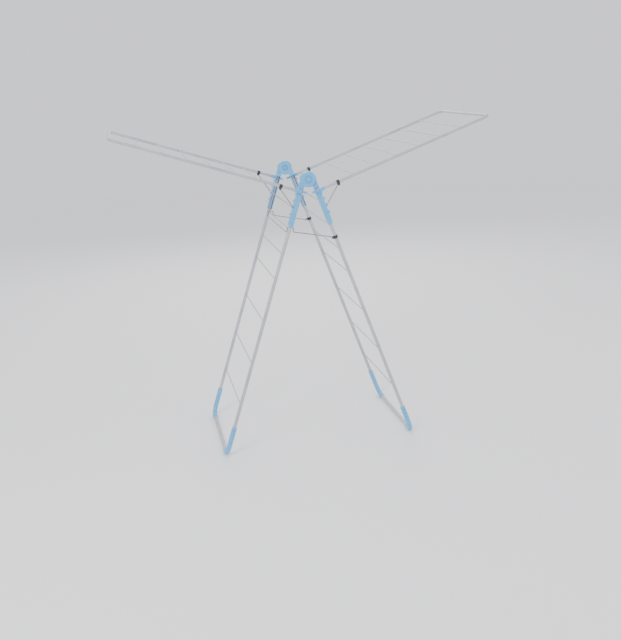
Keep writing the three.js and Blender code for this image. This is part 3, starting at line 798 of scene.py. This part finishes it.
def knuckle(side_name, end_name):
    """Disc and toothed arm in one moulding, hollowed for the leg tube and for the other half's disc."""
    leg, end = LEGS[side_name], ENDS[end_name]
    outer_half = side_name == "left"
    beneath, above = KNUCKLE_INNER - CUT_PAST, KNUCKLE_OUTER + CUT_PAST
    if outer_half:
        own, other = (KNUCKLE_MIDDLE + GAP / 2, KNUCKLE_OUTER), (beneath, KNUCKLE_MIDDLE + GAP / 2)
    else:
        own, other = (KNUCKLE_INNER, KNUCKLE_MIDDLE - GAP / 2), (KNUCKLE_MIDDLE - GAP / 2, above)
    low, high = end_span(end, *own)
    pivot = (0, 0, 0)
    bore = MAIN_PIN_RADIUS + PIN_CLEARANCE
    disc_profile = [(bore, low), (DISC_RADIUS, low), (DISC_RADIUS, high), (bore, high)]
    disc = turned("disc", softened(disc_profile, DISC_EDGE), pivot, sides=DISC_SIDES, flat_frame=leg)
    depth = end_span(end, KNUCKLE_INNER, KNUCKLE_OUTER)
    arm = plate(f"{side_name}_{end_name}_knuckle_moulding", arm_outline(), *depth, leg, edge=ARM_EDGE)
    room_radius = DISC_RADIUS + DISC_CLEARANCE
    room = cylinder(room_radius, *end_span(end, *other), pivot, sides=DISC_SIDES, flat_frame=leg)
    tube_bore = LEG_TUBE_RADIUS + GAP
    channel = block(
        "cutter",
        (CHANNEL_TOP, ARM_LENGTH + CUT_PAST),
        end_span(end, beneath, KNUCKLE_OUTER - ARM_BACK_WALL),
        (LEG_OFFSET - tube_bore, LEG_OFFSET + tube_bore),
        leg,
    )
    through = end_span(end, beneath, above)
    wing_bore, wing_place = WING_PIN_RADIUS + PIN_CLEARANCE, (WING_PIVOT[0], 0, LEG_OFFSET)
    wing_hole = cylinder(wing_bore, *through, wing_place, sides=PIN_HOLE_SIDES, flat_frame=leg)
    main_hole = cylinder(bore, *through, pivot, flat_frame=leg)
    panel = plate(
        "cutter",
        slot_outline(PANEL_START, ARM_LENGTH - PANEL_END_MARGIN, LEG_OFFSET, PANEL_HALF_WIDTH),
        *end_span(end, KNUCKLE_OUTER - PANEL_DEPTH, above),
        leg,
        edge=PANEL_EDGE,
    )
    if outer_half:
        hub = disc_groove(leg, end)
    else:
        recess = end_span(end, beneath, KNUCKLE_INNER + HUB_RECESS_DEPTH)
        hub = cylinder(HUB_RECESS_RADIUS, *recess, pivot, flat_frame=leg)
    arm = cut(arm, room)
    return cut(joined(arm, disc), channel, wing_hole, main_hole, panel, hub)


def disc_groove(leg, end):
    """The ring cut into the outer disc's face round the pin, wider at its mouth."""
    profile = above_face(GROOVE_PROFILE, KNUCKLE_OUTER)
    return turned("cutter", ended(profile, end), (0, 0, 0), sides=GROOVE_SIDES, flat_frame=leg)


# Pins


def ended(profile, end):
    """A profile given by distance from the middle of the rack, at its front or rear end."""
    return [(radius, end * y) for radius, y in profile]


def above_face(profile, face):
    """A profile given by height above a face."""
    return [(radius, face + height) for radius, height in profile]


def dome(radius, base, rise, chords=8):
    """A low dome from its rim to the axis: radius cos(a), base + rise sin(a)."""
    angle = np.linspace(0, math.pi / 2, chords + 1)
    points = [(radius * math.cos(a), base + rise * math.sin(a)) for a in angle[:-1]]
    return [*points, (0.0, base + rise)]


def head_below(radius, base, rise):
    """A dome that points towards the middle of the rack, from the axis to its rim."""
    return [(r, 2 * base - y) for r, y in dome(radius, base, rise)][::-1]


def main_pin(end):
    """A pin with a domed head in the inner disc's recess and a riveted end under the cap."""
    head = KNUCKLE_INNER + HUB_RECESS_DEPTH - GAP
    seat = KNUCKLE_OUTER + GAP
    profile = [
        *head_below(MAIN_HEAD_RADIUS, head - MAIN_HEAD_EDGE, MAIN_HEAD_DOME),
        (MAIN_HEAD_RADIUS, head),
        (MAIN_PIN_RADIUS, head),
        (MAIN_PIN_RADIUS, seat),
        (MAIN_FLANGE_RADIUS, seat),
        *dome(MAIN_RIVET_RADIUS, seat + MAIN_RIVET_EDGE, MAIN_RIVET_DOME),
    ]
    return turned("pin", ended(profile, end), (0, 0, 0), flat_frame=LEGS["left"])


def pin_cap(end):
    """A shallow cap over the main pin: a raised rim, a groove inside it and a low dome in the middle."""
    profile = [*CAP_PROFILE, *dome(CAP_DOME_RADIUS, CAP_DOME_BASE, CAP_DOME_RISE)]
    profile = above_face(profile, KNUCKLE_OUTER + GAP)
    return turned("cap", ended(profile, end), (0, 0, 0), flat_frame=LEGS["left"])


def wing_pin(side_name, end):
    """A pin with a domed head inside the leg tube, and a flange and riveted dome outside the wing joint."""
    inner = LEG_HALF_WIDTH - LEG_TUBE_RADIUS - GAP
    outer = JOINT_OUTER + GAP
    profile = [
        *head_below(WING_HEAD_RADIUS, inner - WING_HEAD_EDGE, WING_HEAD_DOME),
        (WING_HEAD_RADIUS, inner),
        (WING_PIN_RADIUS, inner),
        (WING_PIN_RADIUS, outer),
        (WING_HEAD_RADIUS, outer),
        (WING_HEAD_RADIUS, outer + WING_FLANGE_EDGE),
        (WING_RIVET_SHOULDER, outer + WING_HEAD_EDGE),
        *dome(WING_RIVET_RADIUS, outer + WING_HEAD_EDGE, WING_RIVET_DOME),
    ]
    return turned("pin", ended(profile, end), (WING_PIVOT[0], 0, LEG_OFFSET), flat_frame=LEGS[side_name])


# Wing joints and clips


def wing_joint(side_name, end):
    """Boss, block, tail and a collar that grips the wing tube's end, in one moulding."""
    wing = WINGS[side_name]
    inner = KNUCKLE_OUTER + 2 * GAP
    layer = inner if side_name == "left" else inner + TAIL_THICKNESS + 2 * GAP
    low, high = end_span(end, inner, JOINT_OUTER)
    pivot = (0, 0, 0)
    boss_profile = [
        (JOINT_CORE, low),
        (JOINT_BOSS_RADIUS, low),
        (JOINT_BOSS_RADIUS, high),
        (JOINT_CORE, high),
    ]
    boss = turned("boss", softened(boss_profile, JOINT_EDGE), pivot, flat_frame=wing)
    half = JOINT_BOSS_RADIUS - JOINT_BLOCK_INSET
    body = block("joint", (0, JOINT_BLOCK_END), (low, high), (-half, half), wing, edge=JOINT_BLOCK_EDGE)
    tail_outline = slot_outline(-TAIL_LENGTH, TAIL_ROOT, 0, TAIL_RADIUS)
    tail_span = end_span(end, layer, layer + TAIL_THICKNESS)
    tail = plate("tail", tail_outline, *tail_span, wing, edge=JOINT_EDGE)
    middle = (0, end * WING_HALF_WIDTH, 0)
    collar = turned("collar", COLLAR_PROFILE, middle, axis="along", flat_frame=wing)
    bore = WING_PIN_RADIUS + PIN_CLEARANCE
    hole = cylinder(bore, low - CUT_PAST, high + CUT_PAST, pivot, sides=PIN_HOLE_SIDES, flat_frame=wing)
    return cut(joined(body, boss, tail, collar), hole)


def clip(flat_frame, along, out, end, tube_y, tube_radius, wall, ear_out):
    """A ring round a tube with a round-ended ear, bored for the wire's end."""
    middle = (along, end * tube_y, out)
    bore = tube_radius + CLIP_FIT
    outer = bore + wall
    half = CLIP_HALF_LENGTH
    ring_profile = softened([(bore, -half), (outer, -half), (outer, half), (bore, half)], CLIP_EDGE)
    ring = turned("ring", ring_profile, middle, axis="along", flat_frame=flat_frame)
    ear_span = end_span(end, tube_y - outer + EAR_INSET, tube_y + outer - EAR_OUTER_INSET)
    sign = 1 if ear_out > out else -1
    tip = arc((along, ear_out), EAR_RADIUS, 0, 180 * sign)
    root = out + sign * bore * EAR_ROOT_SHARE
    outline = [(along + EAR_RADIUS, root), *tip, (along - EAR_RADIUS, root)]
    ear = plate("ear", outline, *ear_span, flat_frame, edge=CLIP_EDGE)
    tube_bore = cylinder(bore, -half * 2, half * 2, middle, axis="along", flat_frame=flat_frame)
    wire_bore = cylinder(
        WIRE_RADIUS + PIN_CLEARANCE,
        *end_span(end, tube_y - BORE_REACH, tube_y + BORE_REACH),
        (along, 0, ear_out),
        sides=PIN_HOLE_SIDES,
        flat_frame=flat_frame,
    )
    return cut(joined(ring, ear), tube_bore, wire_bore)


def prop_clip(side_name, end):
    place = (WINGS[side_name], PROP_PIVOT[0], 0)
    return clip(*place, end, WING_HALF_WIDTH, WING_TUBE_RADIUS, PROP_CLIP_WALL, PROP_PIVOT[1])


def spreader_clip(end):
    place = (LEGS["right"], SPREADER_PIVOT[0], LEG_OFFSET)
    return clip(*place, end, LEG_HALF_WIDTH, LEG_TUBE_RADIUS, SPREADER_CLIP_WALL, SPREADER_PIVOT[1])


def foot_sleeve(side_name, end):
    """A thick grip bent over the corner of the leg tube, thin at its mouths, with oblique slots outside."""
    leg = LEGS[side_name]
    bore = LEG_TUBE_RADIUS + SLEEVE_FIT
    corners = [(SLEEVE_TOP, LEG_HALF_WIDTH), (LEG_LENGTH, LEG_HALF_WIDTH), (LEG_LENGTH, SLEEVE_BAR_END)]
    points = leg.place([(u, end * y, LEG_OFFSET) for u, y in corners])
    path = with_end_stations(rounded_path(points, LEG_BEND_RADIUS, BEND_CHORDS), SLEEVE_MOUTH_STATIONS)
    outer = end_radii(path, [bore + wall for wall in SLEEVE_MOUTH_WALLS], SLEEVE_RADIUS)
    sleeve = hollow("sleeve", path, outer, bore, TUBE_SIDES)
    sine, cosine = math.sin(SLOT_SLANT), math.cos(SLOT_SLANT)
    slanted = np.array([[sine, cosine], [cosine, -sine]])
    floor, past = LEG_TUBE_RADIUS + SLOT_FLOOR, SLEEVE_RADIUS + CUT_PAST
    y = end_span(end, LEG_HALF_WIDTH + floor, LEG_HALF_WIDTH + past)
    slots = []
    for i in range(SLEEVE_SLOTS):
        outline = np.array(slot_outline(-SLOT_HALF_LENGTH, SLOT_HALF_LENGTH, 0, SLOT_HALF_WIDTH))
        outline = outline @ slanted.T + (SLEEVE_TOP + FIRST_SLOT + SLOT_PITCH * i, LEG_OFFSET)
        slots.append(plate("cutter", outline, *y, leg, edge=SLOT_EDGE))
    return cut(sleeve, *slots)


def named(piece, name):
    piece.name = name
    piece.data.name = name
    return piece


def make_plastics_and_pins():
    for side_name in SIDES:
        leg_body, wing_body = f"{side_name}_leg", f"{side_name}_wing"
        for end_name, end in ENDS.items():
            name = f"{side_name}_{end_name}"
            fitted(knuckle(side_name, end_name), f"{name}_knuckle", "blue_plastic", leg_body)
            pieces = [
                (foot_sleeve(side_name, end), "foot_sleeve", "blue_plastic", leg_body),
                (wing_pin(side_name, end), "wing_pin", "steel_pin", leg_body),
                (wing_joint(side_name, end), "wing_joint", "blue_plastic", wing_body),
                (prop_clip(side_name, end), "prop_clip", "black_plastic", wing_body),
            ]
            for piece, node, slot, body in pieces:
                named(piece, f"{name}_{node}_shape")
                fitted(piece, f"{name}_{node}", slot, body)
    for end_name, end in ENDS.items():
        pin = named(main_pin(end), f"{end_name}_pivot_pin")
        fitted(pin, f"{end_name}_main_pin", "blue_plastic", "left_leg")
        cap = named(pin_cap(end), f"{end_name}_pivot_cap")
        fitted(cap, f"{end_name}_pin_cap", "blue_plastic", "left_leg")
        holder = named(spreader_clip(end), f"{end_name}_spreader_clip_shape")
        fitted(holder, f"{end_name}_spreader_clip", "black_plastic", "right_leg")


# Wires


def mirrored_wire(name, flat_frame, half, bend):
    """A wire through a list of corners at the front, and back through the same corners at the rear."""
    front = [(u, -y, v) for u, y, v in half]
    path = rounded_path(flat_frame.place(front + half[::-1]), bend, WIRE_BEND_CHORDS)
    return swept(name, path, WIRE_RADIUS, WIRE_SIDES)


def make_props():
    """Each prop: in through the clip's ear, down the arm, along the crossbar in the teeth, and back."""
    for side_name in SIDES:
        pivot = JOINTS[f"{side_name}_prop_swing"]["pos_m"]
        reach = between((pivot[0], pivot[2]), prop_crossbar(side_name))
        flat_frame = FlatFrame(pivot, reach, (0, 1))
        length = float(np.hypot(*reach))
        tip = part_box(f"{side_name}_prop")[1].y
        half = [(0, tip, 0), (0, PROP_ARM_Y, 0), (length, PROP_ARM_Y, 0)]
        piece = mirrored_wire(f"{side_name}_prop_wire", flat_frame, half, PROP_BEND_RADIUS)
        fitted(piece, f"{side_name}_prop", "grey_wire", f"{side_name}_prop")


def make_spreader():
    """The spreader's arms run from the right leg to a hook over the left leg's top rung."""
    direction = (-math.cos(SPREADER_RISE), math.sin(SPREADER_RISE))
    flat_frame = FlatFrame(JOINTS["spreader_swing"]["pos_m"], direction, (0, 1))
    rung_along, rung_up = flat_frame.local(*centre("left_leg_rung_1"))
    clearance = RUNG_RADIUS + WIRE_RADIUS + HOOK_PLAY
    crest, outer_wall = rung_up + clearance, rung_along + clearance
    inner_wall = outer_wall - HOOK_WIDTH
    half = [
        (0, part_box("spreader")[1].y, 0),
        (0, SPREADER_ARM_Y, 0),
        (inner_wall, SPREADER_ARM_Y, 0),
        (inner_wall, SPREADER_ARM_Y, crest),
        (outer_wall, SPREADER_ARM_Y, crest),
        (outer_wall, SPREADER_ARM_Y, crest - HOOK_DEPTH),
    ]
    piece = mirrored_wire("spreader_wire", flat_frame, half, HOOK_BEND_RADIUS)
    fitted(piece, "spreader", "grey_wire", "spreader")


# Floor, lights and camera


def make_floor():
    """A flat round floor whose rim sweeps up into a wall, so that no horizon shows from any side.

    Ring k is at radius r and height z: 0 to the floor's edge, then the edge plus R sin(a), R (1 - cos(a)).
    """
    sweep = np.radians(np.linspace(0, 90, SWEEP_CHORDS + 1))
    radius = np.concatenate([FLOOR_RINGS, FLOOR_RADIUS + SWEEP_RADIUS * np.sin(sweep)])[:, None]
    height = np.concatenate([np.zeros(len(FLOOR_RINGS)), SWEEP_RADIUS * (1 - np.cos(sweep))])[:, None]
    angle = np.linspace(0, 2 * math.pi, FLOOR_SIDES, endpoint=False)[None, :]
    across, deep = radius * np.cos(angle), radius * np.sin(angle)
    grid = np.stack([across, deep, np.broadcast_to(height, across.shape)], axis=-1)
    faces = grid_faces(*grid.shape[:2], False, False)
    faces.append(list(range(FLOOR_SIDES))[::-1])
    piece = mesh_object("floor", grid, [face[::-1] for face in faces])
    material, _, shader = new_material("pale_floor")
    shader.inputs["Base Color"].default_value = (0.93, 0.93, 0.94, 1)
    shader.inputs["Roughness"].default_value = 0.7
    piece.data.materials.append(material)


def area_light(name, place, target, size, power):
    light = bpy.data.lights.new(name, "AREA")
    light.shape = "SQUARE"
    light.size = size
    light.energy = power
    lamp = bpy.data.objects.new(name, light)
    lamp.location = place
    lamp.rotation_euler = (Vector(target) - Vector(place)).to_track_quat("-Z", "Y").to_euler()
    bpy.context.scene.collection.objects.link(lamp)


def make_lights():
    world = bpy.data.worlds.new("studio")
    world.use_nodes = True
    background = world.node_tree.nodes["Background"]
    background.inputs["Color"].default_value = (0.95, 0.96, 1.0, 1)
    background.inputs["Strength"].default_value = 1.15
    bpy.context.scene.world = world
    middle = (0, 0, 0.8)
    area_light("key", (-2.6, -3.2, 3.6), middle, 1.8, 130)
    area_light("fill", (3.4, -2.2, 2.4), middle, 2.6, 40)
    area_light("back", (0.5, 3.6, 3.0), middle, 2.4, 70)


def make_camera():
    """Looks slightly down and to the right, from in front and left of the rack, with a small roll."""
    yaw, pitch, roll = CAMERA_TURN
    forward = Vector((math.sin(yaw) * math.cos(pitch), math.cos(yaw) * math.cos(pitch), -math.sin(pitch)))
    level = Vector((math.cos(yaw), -math.sin(yaw), 0))
    square = level.cross(forward)
    right = level * math.cos(roll) + square * math.sin(roll)
    up = square * math.cos(roll) - level * math.sin(roll)
    data = bpy.data.cameras.new("camera")
    data.lens = CAMERA_LENS
    data.sensor_width = 36
    camera = bpy.data.objects.new("camera", data)
    place = Vector(JOINTS["right_leg_fold"]["pos_m"]) + Vector(CAMERA_FROM_PIVOT)
    turn = Matrix((right, up, -forward)).transposed().to_4x4()
    camera.matrix_world = Matrix.Translation(place) @ turn
    bpy.context.scene.collection.objects.link(camera)
    bpy.context.scene.camera = camera


make_camera()
make_lights()
make_floor()
make_frames()
make_plastics_and_pins()
make_props()
make_spreader()
